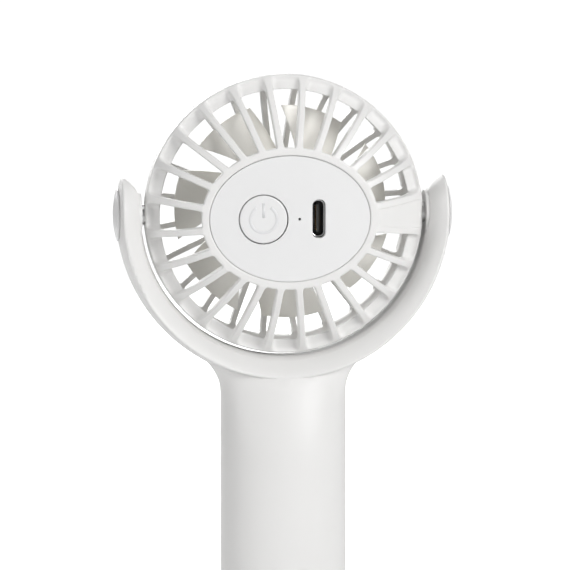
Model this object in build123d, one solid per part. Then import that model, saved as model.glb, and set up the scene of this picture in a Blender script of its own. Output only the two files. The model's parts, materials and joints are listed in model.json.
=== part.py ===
from build123d import *
import math
import os

# Handheld fan with a round head that tilts in a U-shaped fork on an oval handle.
# World frame in mm: origin at the centre of the base, Z up, X along the tilt axis,
# the control side (rear) faces -Y and the air outlet (front) faces +Y.
# Head parts are drawn about the crossing of the tilt axis and the head axis, then lifted.

# ---- head, overall
PIVOT_HEIGHT = 156.0
HEAD_RADIUS = 33.9
RIM_DEPTH = 3.0
RIM_LIP = 0.25
RIM_WALL = 1.7
BAND_WIDTH = 3.2
BAND_RISE = 1.0
FRONT_DEPTH = 14.6
BODY_GAP = 0.7

# ---- grille ribs
RIB_COUNT = 24
RIB_PITCH = 360.0 / RIB_COUNT
RIB_WIDTH = 1.5
FRONT_RIB_WIDTH = 1.3
RIB_DEPTH = 4.0
FRONT_RIB_DEPTH = 2.4
PANEL_RECESS = 0.45
WINDOW_CORNER = 1.2
WINDOW_INNER_CORNER = 0.9
POCKET_CORNER = 1.4

# ---- control cap and its collar
CAP_HALF_WIDTH = 19.25
CAP_HALF_HEIGHT = 15.05
CAP_SEAM = 0.1
COLLAR_WIDTH = 1.95
COLLAR_DEPTH = 14.35
CAP_EDGE_DEPTH = 14.3
CAP_CROWN = 0.5
CAP_UNDERSIDE = 12.95
BUTTON_X = -6.45
BUTTON_RADIUS = 5.72
BUTTON_GAP = 0.26
BUTTON_TRAVEL = 0.35
BUTTON_FLANGE = 0.7
SYMBOL_RADIUS = 3.2
SYMBOL_LINE = 0.72
SYMBOL_RAISE = 0.12
LED_X = 2.2
LED_HOLE_RADIUS = 0.34
USB_X = 6.85
USB_SLOT_LENGTH = 9.25
USB_SLOT_WIDTH = 3.25
USB_SHELL_LENGTH = 8.94
USB_SHELL_WIDTH = 3.16
USB_SHELL_WALL = 0.3

# ---- control board
BOARD_HALF_WIDTH = 13.4
BOARD_HALF_HEIGHT = 11.3
BOARD_TOP = 8.6
BOARD_THICKNESS = 1.0
BOARD_SCREW_Z = 9.5
SWITCH_SIDE = 5.0
SWITCH_HEIGHT = 1.6

# ---- control pod behind the cap and the motor socket
POD_FLOOR_HALF_WIDTH = 15.4
POD_FLOOR_HALF_HEIGHT = 13.4
POD_FLOOR_TOP = 6.0
POD_FLOOR = 1.2
POD_WALL = 1.4
SOCKET_WALL = 1.4
SOCKET_LENGTH = 3.6

# ---- motor
MOTOR_RADIUS = 10.2
MOTOR_LENGTH = 9.8
MOTOR_WALL = 0.8
MOTOR_REAR = -(POD_FLOOR_TOP - POD_FLOOR)
MOTOR_FRONT = MOTOR_REAR + MOTOR_LENGTH
BEARING_BOSS_RADIUS = 3.0
BEARING_BOSS = 1.2
BUSHING_RADIUS = 2.0
SHAFT_RADIUS = 1.0
SHAFT_RUNNING_FIT = 0.04
MAGNET_THICKNESS = 1.5
ROTOR_GAP = 0.4
ROTOR_LENGTH = 4.4
ROTOR_SHOE = 1.3
ROTOR_HUB_RADIUS = 2.2

# ---- impeller
BLADE_COUNT = 7
BLADE_TIP_RADIUS = 26.2
BLADE_THICKNESS = 1.1
BLADE_REAR = 0.6
BLADE_FRONT = 8.0
BLADE_SPAN_DEG = 38.0
BLADE_SWEEP_DEG = 22.0
BLADE_START_DEG = 75.0
HUB_WALL = 1.0
HUB_CLEARANCE = 0.8
HUB_RADIUS = MOTOR_RADIUS + HUB_CLEARANCE + HUB_WALL
HUB_REAR = -0.6
HUB_FRONT = 9.6

# ---- fork
FORK_THICKNESS = 6.0
FORK_EDGE_DROP = 1.25
FORK_EDGE_DEPTH = 9.3
FORK_INNER_CROWN = HEAD_RADIUS + BODY_GAP
FORK_OUTER_CROWN = FORK_INNER_CROWN + FORK_THICKNESS
FORK_EDGE_RADIUS = FORK_OUTER_CROWN - FORK_EDGE_DROP
FORK_INNER_RADIUS = FORK_INNER_CROWN + 0.8
FORK_INNER_DEPTH = 5.6
FORK_FACE_BULGE = 0.41
FORK_EDGE_ROUND = 0.5
CHANNEL_INNER = FORK_INNER_CROWN + 2.0
CHANNEL_OUTER = FORK_OUTER_CROWN - 2.0
CHANNEL_HALF_DEPTH = 3.5

# ---- pivots
PIN_RADIUS = 2.6
BOSS_RADIUS = PIN_RADIUS + 2.7
PIN_BORE = 1.2
PIN_RUNNING_FIT = 0.08
PIN_FLANGE_RADIUS = PIN_RADIUS + 2.0
PIN_FLANGE = 0.9
PIN_KEY_RADIUS = PIN_RADIUS + 0.5
PIN_KEY = 1.0
BLOCK_HALF_HEIGHT = PIN_KEY_RADIUS + 1.1
RECESS_RADIUS = PIN_FLANGE_RADIUS + 1.4
RECESS_DEPTH = 3.0
RECESS_FLOOR = FORK_OUTER_CROWN - RECESS_DEPTH
WASHER_THICKNESS = 0.35
PIVOT_CAP_RADIUS = RECESS_RADIUS + 0.3
PIVOT_CAP_PEAK = FORK_OUTER_CROWN + 0.75

# ---- handle
HANDLE_HALF_WIDTH = 15.4
HANDLE_HALF_DEPTH = 12.0
NECK_HALF_DEPTH = 8.8
NECK_THINNING = 0.15
NECK_FILLET = 10.2
NECK_LENGTH = 17.4
NECK_START = PIVOT_HEIGHT - FORK_OUTER_CROWN - NECK_LENGTH
BODY_WALL = 1.8
BASE_TOP = 3.0
BASE_PLUG = 7.0
PAD_THICKNESS = 1.4
PAD_PROUD = 0.6

# ---- battery
CELL_RADIUS = 9.2
CELL_LENGTH = 65.0
CELL_BOTTOM = 24.0
FOAM_THICKNESS = 4.0
CRADLE_THICKNESS = 1.4


def rear_plane(y):
    """Plane square to the head axis, seen from the rear: local x = X, local y = Z."""
    return Plane(origin=(0, y, 0), x_dir=(1, 0, 0), z_dir=(0, -1, 0))


def slab(sketch, y_rear, y_front):
    """Prism of a rear-view sketch between two depths."""
    return extrude(rear_plane(y_rear) * sketch, amount=-(y_front - y_rear))


def skin(*levels):
    """Smooth solid through ellipses given as (depth, half width, half height)."""
    return loft([rear_plane(y) * Ellipse(a, b) for y, a, b in levels])


def rod_y(radius, y_rear, y_front, x=0.0, z=0.0):
    return slab(Pos(x, z) * Circle(radius), y_rear, y_front)


def rod_x(radius, x0, x1):
    plane = Plane(origin=(x0, 0, 0), x_dir=(0, 1, 0), z_dir=(1, 0, 0))
    return extrude(plane * Circle(radius), amount=x1 - x0)


def box(x0, x1, y0, y1, z0, z1):
    return Pos((x0 + x1) / 2, (y0 + y1) / 2, (z0 + z1) / 2) * Box(x1 - x0, y1 - y0, z1 - z0)


def both_sides(part):
    return part + mirror(part, about=Plane.YZ)


def polar(radius, degrees, sideways=0.0):
    a = math.radians(degrees)
    return (
        radius * math.cos(a) - sideways * math.sin(a),
        radius * math.sin(a) + sideways * math.cos(a),
    )


def sector(angle, rib_width, inner, outer_radius, inner_corner, outer_corner):
    """Rounded window outline between two neighbouring ribs."""
    half = rib_width / 2
    low = angle - RIB_PITCH / 2
    high = angle + RIB_PITCH / 2
    near = 9.0
    far = outer_radius * 1.2
    corners = [
        polar(near, low, half),
        polar(far, low, half),
        polar(far, high, -half),
        polar(near, high, -half),
    ]
    # the closed curves start on the far side, so no extra corner lands in the window
    away = Rot(0, 0, 180) if math.cos(math.radians(angle)) > 0 else Rot(0, 0, 0)
    shape = Polygon(*corners, align=None) & (away * Circle(outer_radius))
    shape = shape - away * inner
    reach = [math.hypot(v.X, v.Y) for v in shape.vertices()]
    middle = (min(reach) + max(reach)) / 2
    outer = [v for v in shape.vertices() if math.hypot(v.X, v.Y) > middle]
    shape = fillet(outer, outer_corner)
    inner_ends = [v for v in shape.vertices() if math.hypot(v.X, v.Y) < middle]
    return fillet(inner_ends, inner_corner)


def window_angles(skip_panel):
    first = 1 if skip_panel else 0
    return [i * RIB_PITCH for i in range(first, RIB_COUNT)]


# ---------------------------------------------------------------- rear grille
COLLAR_HALF_WIDTH = CAP_HALF_WIDTH + CAP_SEAM + COLLAR_WIDTH
COLLAR_HALF_HEIGHT = CAP_HALF_HEIGHT + CAP_SEAM + COLLAR_WIDTH
WINDOW_RADIUS = HEAD_RADIUS - BAND_WIDTH
POCKET_RADIUS = HEAD_RADIUS - RIM_LIP


def rear_dome(inset):
    """Dome from the round rim to the oval collar, sunk by inset towards the head centre."""
    top = -COLLAR_DEPTH + 0.15 + inset
    low = -RIM_DEPTH - 0.6 + inset * 0.4
    middle = -8.8 + inset * 0.8
    return skin(
        (low, HEAD_RADIUS - 0.4 - inset * 0.55, HEAD_RADIUS - 0.4 - inset * 0.55),
        (middle, HEAD_RADIUS - 4.5 - inset * 0.75, HEAD_RADIUS - 6.2 - inset * 0.75),
        (top, COLLAR_HALF_WIDTH - inset * 0.65, COLLAR_HALF_HEIGHT - inset * 0.6),
    )


def rim_band():
    """Rim ring with the scooped floor of the pockets."""
    edge = RIM_DEPTH + 0.5
    floor_in = (WINDOW_RADIUS - 0.9, -(edge + BAND_RISE))
    floor_out = (POCKET_RADIUS, -edge)
    floor_mid = (WINDOW_RADIUS + 0.9, -(edge + 0.15))
    outline = [
        ThreePointArc(floor_in, floor_mid, floor_out),
        Polyline(
            floor_out,
            (HEAD_RADIUS - 0.1, -(RIM_DEPTH + 0.35)),
            (HEAD_RADIUS, -RIM_DEPTH),
            (HEAD_RADIUS, 0),
            (HEAD_RADIUS - RIM_WALL, 0),
            (HEAD_RADIUS - RIM_WALL, -(RIM_DEPTH - 1.0)),
            (WINDOW_RADIUS - 0.9, -(RIM_DEPTH + 0.2)),
            floor_in,
        ),
    ]
    return revolve(make_face(outline), Axis.Y, 360)


def pivot_block(y0, y1):
    """Thickened wall that clamps the right pivot pin."""
    block = box(WINDOW_RADIUS + 0.1, HEAD_RADIUS - 0.5, y0, y1,
                -BLOCK_HALF_HEIGHT, BLOCK_HALF_HEIGHT)
    return block & rod_y(HEAD_RADIUS - 0.3, y0, y1)


def pivot_bores():
    key_x = HEAD_RADIUS - 2.0
    bore = rod_x(PIN_RADIUS, WINDOW_RADIUS - 2, HEAD_RADIUS + 1)
    return both_sides(bore + rod_x(PIN_KEY_RADIUS, key_x, key_x + PIN_KEY))


def pod():
    """Bowl behind the cap with its floor, board posts and motor socket."""
    floor_rear = -POD_FLOOR_TOP
    floor_front = floor_rear + POD_FLOOR
    collar = slab(Ellipse(COLLAR_HALF_WIDTH, COLLAR_HALF_HEIGHT), -COLLAR_DEPTH, -10.5)
    collar = fillet(collar.edges().group_by(Axis.Y)[0], 0.45)
    bowl = skin(
        (-12.2, COLLAR_HALF_WIDTH - 0.3, COLLAR_HALF_HEIGHT - 0.3),
        (floor_front, POD_FLOOR_HALF_WIDTH, POD_FLOOR_HALF_HEIGHT),
    )
    socket = rod_y(MOTOR_RADIUS + SOCKET_WALL, floor_rear, MOTOR_REAR + SOCKET_LENGTH)
    return collar + bowl + socket


def pod_cavity():
    floor_rear = -POD_FLOOR_TOP
    mouth = slab(
        Ellipse(CAP_HALF_WIDTH + CAP_SEAM, CAP_HALF_HEIGHT + CAP_SEAM), -20, -CAP_UNDERSIDE
    )
    hollow = skin(
        (-CAP_UNDERSIDE, CAP_HALF_WIDTH - 1.2, CAP_HALF_HEIGHT - 1.2),
        (floor_rear, POD_FLOOR_HALF_WIDTH - POD_WALL, POD_FLOOR_HALF_HEIGHT - POD_WALL),
    )
    opening = rod_y(MOTOR_RADIUS - 2.8, floor_rear - 1, MOTOR_REAR + 1)
    seat = rod_y(MOTOR_RADIUS, MOTOR_REAR, MOTOR_REAR + SOCKET_LENGTH + 1)
    return mouth + hollow + opening + seat


def board_posts():
    posts = []
    for z in (-BOARD_SCREW_Z, BOARD_SCREW_Z):
        post = rod_y(1.75, -(BOARD_TOP - BOARD_THICKNESS), -POD_FLOOR_TOP + 0.2, 0, z)
        posts.append(post - rod_y(0.65, -9, -POD_FLOOR_TOP - 0.4, 0, z))
    return posts


def make_rear_grille():
    outer = rear_dome(0.0)
    collar_oval = Ellipse(COLLAR_HALF_WIDTH, COLLAR_HALF_HEIGHT)
    shell = outer - rear_dome(RIB_DEPTH)
    for angle in window_angles(True):
        pocket = sector(
            angle, RIB_WIDTH, collar_oval, POCKET_RADIUS, WINDOW_INNER_CORNER, POCKET_CORNER
        )
        shell = shell - slab(pocket, -20, 5)
    panel = sector(
        0.0, RIB_WIDTH, collar_oval, POCKET_RADIUS, WINDOW_INNER_CORNER, POCKET_CORNER
    )
    shell = shell - (slab(panel, -20, 5) - Pos(0, PANEL_RECESS, 0) * outer)
    band = rim_band()
    for angle in window_angles(False):
        window = sector(
            angle, RIB_WIDTH, collar_oval, WINDOW_RADIUS, WINDOW_INNER_CORNER, WINDOW_CORNER
        )
        band = band - slab(window, -20, 5)
    shell = shell + band + pod()
    shell = shell + both_sides(pivot_block(-(RIM_DEPTH + 0.3), 0))
    shell = shell - pod_cavity() - pivot_bores()
    for post in board_posts():
        shell = shell + post
    return shell - box(-50, 50, 0, 30, -50, 50)


# ---------------------------------------------------------------- front grille
FRONT_WINDOW_RADIUS = HEAD_RADIUS - 3.0
FRONT_DISC_RADIUS = 12.8


def make_front_grille():
    r = HEAD_RADIUS
    d = FRONT_DEPTH
    outer = Spline(
        (r, 0), (r - 0.35, 3), (r - 1.0, 6), (r - 2.7, 9), (r - 5.9, d - 3.1),
        (r - 13.9, d - 1.2), (0, d),
        tangents=[(0, 1), (-1, 0)],
    )
    w = RIM_WALL
    t = FRONT_RIB_DEPTH
    inner = Spline(
        (0, d - t), (r - 14.3, d - 1.3 - t), (r - 7.3, d - 3.4 - t), (r - 4.0, 7.0),
        (r - w - 0.4, 3), (r - w, 0), tangents=[(1, 0), (0, -1)],
    )
    section = make_face([outer, Line((0, d), (0, d - t)), inner, Line((r - w, 0), (r, 0))])
    shell = revolve(section, Axis.Y, 360)
    shell = shell + both_sides(pivot_block(0, BLOCK_HALF_HEIGHT))
    for angle in window_angles(False):
        window = sector(
            angle, FRONT_RIB_WIDTH, Circle(FRONT_DISC_RADIUS), FRONT_WINDOW_RADIUS,
            WINDOW_INNER_CORNER, WINDOW_CORNER,
        )
        shell = shell - slab(window, 5.2, 25)
    return shell - pivot_bores()


# ---------------------------------------------------------------- control cap
def cap_crown(extra):
    """Flat ellipsoid whose top gives the cap its even crown."""
    half_depth = CAP_CROWN / (1 - math.sqrt(1 - 1 / 9))
    top = -(CAP_EDGE_DEPTH + CAP_CROWN + extra)
    body = scale(Sphere(1), by=(3 * CAP_HALF_WIDTH, half_depth, 3 * CAP_HALF_HEIGHT))
    return Pos(0, top + half_depth, 0) * body


def make_control_cap():
    plate = slab(Ellipse(CAP_HALF_WIDTH, CAP_HALF_HEIGHT), -20, -CAP_UNDERSIDE)
    plate = plate & cap_crown(0.0)
    plate = plate - rod_y(BUTTON_RADIUS + BUTTON_GAP, -20, -10, BUTTON_X)
    plate = plate - rod_y(LED_HOLE_RADIUS, -20, -10, LED_X)
    return plate - slab(usb_outline(USB_SLOT_LENGTH, USB_SLOT_WIDTH), -20, -10)


def usb_outline(length, width):
    corner = width / 2 * 0.86
    return Pos(USB_X, 0) * RectangleRounded(width, length, corner)


BUTTON_TOP = CAP_EDGE_DEPTH + CAP_CROWN - 0.06


def make_power_button():
    flange_front = -(CAP_UNDERSIDE - 0.1 - BUTTON_FLANGE)
    disc = rod_y(BUTTON_RADIUS, -BUTTON_TOP, flange_front, BUTTON_X)
    disc = chamfer(disc.edges().group_by(Axis.Y)[0], 0.2)
    flange = rod_y(BUTTON_RADIUS + 0.9, -(CAP_UNDERSIDE - 0.1), flange_front, BUTTON_X)
    stem_end = -(SWITCH_TOP + BUTTON_TRAVEL + 0.03)
    stem = rod_y(1.6, flange_front, stem_end, BUTTON_X)
    ring = Circle(SYMBOL_RADIUS) - Circle(SYMBOL_RADIUS - SYMBOL_LINE)
    ring = ring - Pos(0, SYMBOL_RADIUS) * Rectangle(2.6, 2.6)
    bar = Pos(0, 2.15) * Rectangle(SYMBOL_LINE, 3.9)
    mark = Pos(BUTTON_X, 0) * (ring + bar)
    raised = slab(mark, -(BUTTON_TOP + SYMBOL_RAISE), -(BUTTON_TOP - 0.2))
    return disc + flange + stem + raised


SWITCH_TOP = BOARD_TOP + SWITCH_HEIGHT + 0.75


def make_tact_switch():
    half = SWITCH_SIDE / 2
    top = BOARD_TOP + SWITCH_HEIGHT
    body = box(BUTTON_X - half, BUTTON_X + half, -top, -BOARD_TOP, -half, half)
    return body + rod_y(1.2, -SWITCH_TOP, -top, BUTTON_X)


def make_led_indicator():
    return box(LED_X - 0.4, LED_X + 0.4, -(BOARD_TOP + 0.6), -BOARD_TOP, -0.8, 0.8)


def make_usb_c_shell():
    outer = usb_outline(USB_SHELL_LENGTH, USB_SHELL_WIDTH)
    wall = 2 * USB_SHELL_WALL
    inner = usb_outline(USB_SHELL_LENGTH - wall, USB_SHELL_WIDTH - wall)
    return slab(outer - inner, -(CAP_UNDERSIDE - 0.05), -BOARD_TOP)


def make_usb_c_insulator():
    wall = 2 * USB_SHELL_WALL
    back = usb_outline(USB_SHELL_LENGTH - wall, USB_SHELL_WIDTH - wall)
    tongue = Pos(USB_X, 0) * Rectangle(0.7, 6.7)
    return slab(back, -(BOARD_TOP + 1.1), -BOARD_TOP) + slab(tongue, -12.3, -BOARD_TOP)


def make_control_board():
    board = slab(
        Ellipse(BOARD_HALF_WIDTH, BOARD_HALF_HEIGHT), -BOARD_TOP, -BOARD_TOP + BOARD_THICKNESS
    )
    for z in (-BOARD_SCREW_Z, BOARD_SCREW_Z):
        board = board - rod_y(0.75, -10, -5, 0, z)
    return board


def make_board_chips():
    driver = box(-1.2, 2.8, -(BOARD_TOP + 1.2), -BOARD_TOP, 3.0, 6.8)
    charger = box(-1.2, 2.8, -(BOARD_TOP + 1.2), -BOARD_TOP, -6.8, -3.0)
    inductor = box(-8.0, -4.6, -(BOARD_TOP + 1.6), -BOARD_TOP, -7.8, -4.4)
    return Compound(children=[driver, charger, inductor])


def make_board_screws():
    screws = []
    for z in (-BOARD_SCREW_Z, BOARD_SCREW_Z):
        head = rod_y(1.25, -(BOARD_TOP + 0.7), -BOARD_TOP, 0, z)
        drive = slab(Pos(0, z) * (Rectangle(1.6, 0.3) + Rectangle(0.3, 1.6)), -10, -9)
        shank = rod_y(0.65, -BOARD_TOP, -POD_FLOOR_TOP - 0.5, 0, z)
        screws.append(head - drive + shank)
    return Compound(children=screws)


# ---------------------------------------------------------------- motor
def make_motor_can():
    inner = MOTOR_RADIUS - MOTOR_WALL
    boss_end = MOTOR_FRONT + BEARING_BOSS
    can = rod_y(MOTOR_RADIUS, MOTOR_REAR, MOTOR_FRONT)
    can = fillet(can.edges().group_by(Axis.Y)[-1], 0.6)
    can = can - rod_y(inner, MOTOR_REAR - 1, MOTOR_FRONT - MOTOR_WALL)
    can = can + rod_y(BEARING_BOSS_RADIUS, MOTOR_FRONT - 0.3, boss_end)
    return can - rod_y(BUSHING_RADIUS, MOTOR_REAR, boss_end + 1)


END_BELL_REAR = MOTOR_REAR - 1.4
END_BELL_FRONT = MOTOR_REAR + 1.0


def make_motor_end_bell():
    disc = rod_y(MOTOR_RADIUS - MOTOR_WALL, MOTOR_REAR, END_BELL_FRONT)
    boss = rod_y(BEARING_BOSS_RADIUS + 0.2, END_BELL_REAR, MOTOR_REAR)
    return disc + boss - rod_y(BUSHING_RADIUS, END_BELL_REAR - 1, END_BELL_FRONT + 1)


def bushing(y_rear, y_front):
    sleeve = rod_y(BUSHING_RADIUS, y_rear, y_front)
    return sleeve - rod_y(SHAFT_RADIUS + SHAFT_RUNNING_FIT, y_rear - 1, y_front + 1)


def make_motor_bushing_rear():
    return bushing(END_BELL_REAR + 0.1, END_BELL_FRONT)


def make_motor_bushing_front():
    return bushing(MOTOR_FRONT - MOTOR_WALL, MOTOR_FRONT + BEARING_BOSS)


MAGNET_INNER = MOTOR_RADIUS - MOTOR_WALL - MAGNET_THICKNESS
ROTOR_RADIUS = MAGNET_INNER - ROTOR_GAP
ROTOR_REAR = (MOTOR_REAR + MOTOR_FRONT - ROTOR_LENGTH) / 2 + 0.4


def make_motor_magnets():
    outer = MOTOR_RADIUS - MOTOR_WALL
    ring = rod_y(outer, END_BELL_FRONT + 0.4, MOTOR_FRONT - MOTOR_WALL - 0.6)
    return ring - rod_y(MAGNET_INNER, -20, 20)


def make_rotor_core():
    profile = Circle(ROTOR_RADIUS) - Circle(ROTOR_RADIUS - ROTOR_SHOE)
    for i in range(3):
        gap_at = polar(ROTOR_RADIUS, 60 + 120 * i)
        profile = profile - Pos(*gap_at) * Rot(0, 0, 60 + 120 * i) * Rectangle(4, 1.6)
    profile = profile + Circle(ROTOR_HUB_RADIUS)
    for i in range(3):
        tooth_at = polar(ROTOR_RADIUS / 2, 120 * i)
        profile = profile + Pos(*tooth_at) * Rot(0, 0, 120 * i) * Rectangle(ROTOR_RADIUS - 1, 1.8)
    profile = profile - Circle(SHAFT_RADIUS)
    return slab(profile, ROTOR_REAR, ROTOR_REAR + ROTOR_LENGTH)


def make_rotor_coils():
    coils = []
    inner = ROTOR_HUB_RADIUS + 0.5
    outer = ROTOR_RADIUS - ROTOR_SHOE - 0.6
    for i in range(3):
        at = polar((inner + outer) / 2, 120 * i)
        ring = Rectangle(outer - inner, 4.2)
        wound = slab(Pos(*at) * Rot(0, 0, 120 * i) * ring, ROTOR_REAR - 0.7,
                     ROTOR_REAR + ROTOR_LENGTH + 0.7)
        slot = slab(Pos(*at) * Rot(0, 0, 120 * i) * Rectangle(4, 1.8), ROTOR_REAR,
                    ROTOR_REAR + ROTOR_LENGTH)
        coils.append(wound - slot)
    return Compound(children=coils)


def make_commutator():
    ring = Circle(2.3) - Circle(SHAFT_RADIUS)
    return slab(ring, END_BELL_FRONT + 0.3, ROTOR_REAR - 0.8)


SHAFT_END = HUB_FRONT - 0.4


def make_motor_shaft():
    shaft = rod_y(SHAFT_RADIUS, END_BELL_REAR + 0.3, SHAFT_END)
    return chamfer(shaft.edges().group_by(Axis.Y)[-1], 0.2)


# ---------------------------------------------------------------- impeller
def blade_section(radius, turn):
    """Cambered blade section on the plane square to a radius of the impeller."""
    half = radius * math.sin(math.radians(BLADE_SPAN_DEG / 2))
    axis_dir = polar(1.0, turn)
    plane = Plane(
        origin=(radius * axis_dir[0], 0, radius * axis_dir[1]),
        x_dir=(-axis_dir[1], 0, axis_dir[0]),
        z_dir=(axis_dir[0], 0, axis_dir[1]),
    )
    # local x runs round the wheel, local y runs along the head axis towards the rear
    t = BLADE_THICKNESS / 2
    start = (-half, -BLADE_FRONT + t)
    end = (half, -BLADE_REAR - t)
    bow = 0.10 * half
    mid = (-bow * 0.4, -(BLADE_FRONT + BLADE_REAR) / 2 + bow)
    outline = [
        ThreePointArc((start[0], start[1] + t), (mid[0], mid[1] + t), (end[0], end[1] + t)),
        Line((end[0], end[1] + t), (end[0], end[1] - t)),
        ThreePointArc((end[0], end[1] - t), (mid[0], mid[1] - t), (start[0], start[1] - t)),
        Line((start[0], start[1] - t), (start[0], start[1] + t)),
    ]
    return plane * make_face(outline)


def make_impeller():
    hub = rod_y(HUB_RADIUS, HUB_REAR, HUB_FRONT)
    hub = fillet(hub.edges().group_by(Axis.Y)[-1], 1.0)
    hub = hub - rod_y(HUB_RADIUS - HUB_WALL, HUB_REAR - 1, HUB_FRONT - 1.4)
    hub = hub + rod_y(2.6, MOTOR_FRONT + BEARING_BOSS + 0.7, HUB_FRONT - 1)
    mid_radius = (HUB_RADIUS + BLADE_TIP_RADIUS) / 2
    blade = loft([
        blade_section(HUB_RADIUS - 0.5, -BLADE_SWEEP_DEG),
        blade_section(mid_radius, -BLADE_SWEEP_DEG * 0.4),
        blade_section(BLADE_TIP_RADIUS + 1.0, 0),
    ])
    keep = rod_y(BLADE_TIP_RADIUS, -5, 12) - rod_y(HUB_RADIUS - 0.4, -6, 13)
    blade = blade & keep
    wheel = hub
    for i in range(BLADE_COUNT):
        turn = BLADE_START_DEG + i * 360.0 / BLADE_COUNT
        wheel = wheel + Rot(0, -turn, 0) * blade
    return wheel - rod_y(SHAFT_RADIUS, -20, SHAFT_END)


# ---------------------------------------------------------------- pivots
def make_pivot_pin():
    key_x = HEAD_RADIUS - 2.0
    flange_x = RECESS_FLOOR + WASHER_THICKNESS + 0.05
    pin = rod_x(PIN_RADIUS, WINDOW_RADIUS + 0.1, flange_x + PIN_FLANGE)
    pin = pin + rod_x(PIN_KEY_RADIUS, key_x, key_x + PIN_KEY)
    pin = pin + rod_x(PIN_FLANGE_RADIUS, flange_x, flange_x + PIN_FLANGE)
    return pin - rod_x(PIN_BORE, WINDOW_RADIUS - 1, PIVOT_CAP_PEAK + 1)


def make_pivot_washer():
    ring = rod_x(PIN_FLANGE_RADIUS + 0.2, RECESS_FLOOR, RECESS_FLOOR + WASHER_THICKNESS)
    return ring - rod_x(PIN_RADIUS + 0.15, HEAD_RADIUS, PIVOT_CAP_PEAK)


def crown_at(radius):
    """Outward position of the fork's crowned outer face this far from the tilt axis."""
    sag = FORK_OUTER_CROWN - FORK_EDGE_RADIUS
    return FORK_OUTER_CROWN - sag * (radius / FORK_EDGE_DEPTH) ** 2


def make_pivot_cap():
    plug = RECESS_RADIUS - 0.04
    seat = crown_at(RECESS_RADIUS) + 0.05
    rise = PIVOT_CAP_PEAK - seat - 0.35
    dome_radius = (PIVOT_CAP_RADIUS**2 + rise**2) / (2 * rise)
    half_turn = math.asin(PIVOT_CAP_RADIUS / dome_radius) / 2
    mid = (
        PIVOT_CAP_PEAK - dome_radius * (1 - math.cos(half_turn)),
        dome_radius * math.sin(half_turn),
    )
    edge = (seat + 0.35, PIVOT_CAP_RADIUS)
    peak = (PIVOT_CAP_PEAK, 0)
    under = Polyline(
        peak, (seat + 0.25, 0), (seat + 0.25, plug - 0.9), (seat - 0.7, plug - 0.9),
        (seat - 0.7, plug), (seat, plug), (seat, PIVOT_CAP_RADIUS), edge,
    )
    return revolve(make_face([under, ThreePointArc(edge, mid, peak)]), Axis.X, 360)


# ---------------------------------------------------------------- fork and handle body
def face_arc(sign):
    """Dished face of the fork between its outer and inner edges."""
    outer = (FORK_EDGE_RADIUS, sign * FORK_EDGE_DEPTH)
    inner = (FORK_INNER_RADIUS, sign * FORK_INNER_DEPTH)
    dx = outer[0] - inner[0]
    dy = FORK_EDGE_DEPTH - FORK_INNER_DEPTH
    length = math.hypot(dx, dy)
    mid = (
        (outer[0] + inner[0]) / 2 - FORK_FACE_BULGE * dy / length,
        sign * ((FORK_EDGE_DEPTH + FORK_INNER_DEPTH) / 2 + FORK_FACE_BULGE * dx / length),
    )
    return outer, mid, inner


def fork_section():
    rear = face_arc(-1)
    front = face_arc(1)
    section = make_face([
        ThreePointArc(rear[0], (FORK_OUTER_CROWN, 0), front[0]),
        ThreePointArc(*front),
        ThreePointArc(front[2], (FORK_INNER_CROWN, 0), rear[2]),
        ThreePointArc(rear[2], rear[1], rear[0]),
    ])
    edges = [v for v in section.vertices() if v.X > FORK_OUTER_CROWN - 3]
    section = fillet(edges, FORK_EDGE_ROUND)
    inner = [v for v in section.vertices() if v.X < FORK_INNER_RADIUS + 0.1]
    return fillet(inner, FORK_EDGE_ROUND + 0.3)


def fork():
    section = fork_section()
    lower = revolve(section, Axis.Y, 180)
    upper_half = section & (Pos(FORK_OUTER_CROWN, 25) * Rectangle(60, 50))
    tip = revolve(upper_half, Axis.X, 180)
    boss = rod_x(BOSS_RADIUS, FORK_INNER_CROWN, FORK_INNER_CROWN + 1.8)
    return lower + both_sides(tip + boss)


def head_space():
    """Space swept clear of handle material: the round mouth of the fork, widened past its faces."""
    rear = face_arc(-1)
    front = face_arc(1)
    section = make_face([
        Line((0, -30), (FORK_EDGE_RADIUS, -30)),
        Line((FORK_EDGE_RADIUS, -30), rear[0]),
        ThreePointArc(*rear),
        ThreePointArc(rear[2], (FORK_INNER_CROWN, 0), front[2]),
        ThreePointArc(front[2], front[1], front[0]),
        Line(front[0], (FORK_EDGE_RADIUS, 30)),
        Line((FORK_EDGE_RADIUS, 30), (0, 30)),
        Line((0, 30), (0, -30)),
    ])
    return revolve(section, Axis.Y, 360)


def neck_level(z, inset=0.0):
    """Oval of the handle at a height: it thins towards the fork and flares along the fillet."""
    span = (FORK_OUTER_CROWN + NECK_FILLET) ** 2 - (HANDLE_HALF_WIDTH + NECK_FILLET) ** 2
    fillet_z = PIVOT_HEIGHT - math.sqrt(span)
    half_width = HANDLE_HALF_WIDTH
    if z > fillet_z:
        half_width += NECK_FILLET - math.sqrt(NECK_FILLET**2 - (z - fillet_z) ** 2)
    s = (z - NECK_START) / (PIVOT_HEIGHT - FORK_INNER_CROWN - NECK_START)
    s = min(max(s, 0.0), 1.0)
    blend = s * s * (3 - 2 * s)
    half_depth = HANDLE_HALF_DEPTH - (HANDLE_HALF_DEPTH - NECK_HALF_DEPTH) * blend
    half_depth -= NECK_THINNING * (half_width - HANDLE_HALF_WIDTH)
    return Plane.XY.offset(z) * Ellipse(half_width - inset, half_depth - inset)


def neck_top():
    """Height where the neck fillet meets the fork's outer circle."""
    reach = FORK_OUTER_CROWN + NECK_FILLET
    drop = math.sqrt(reach**2 - (HANDLE_HALF_WIDTH + NECK_FILLET) ** 2)
    return PIVOT_HEIGHT - drop * FORK_OUTER_CROWN / reach


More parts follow.
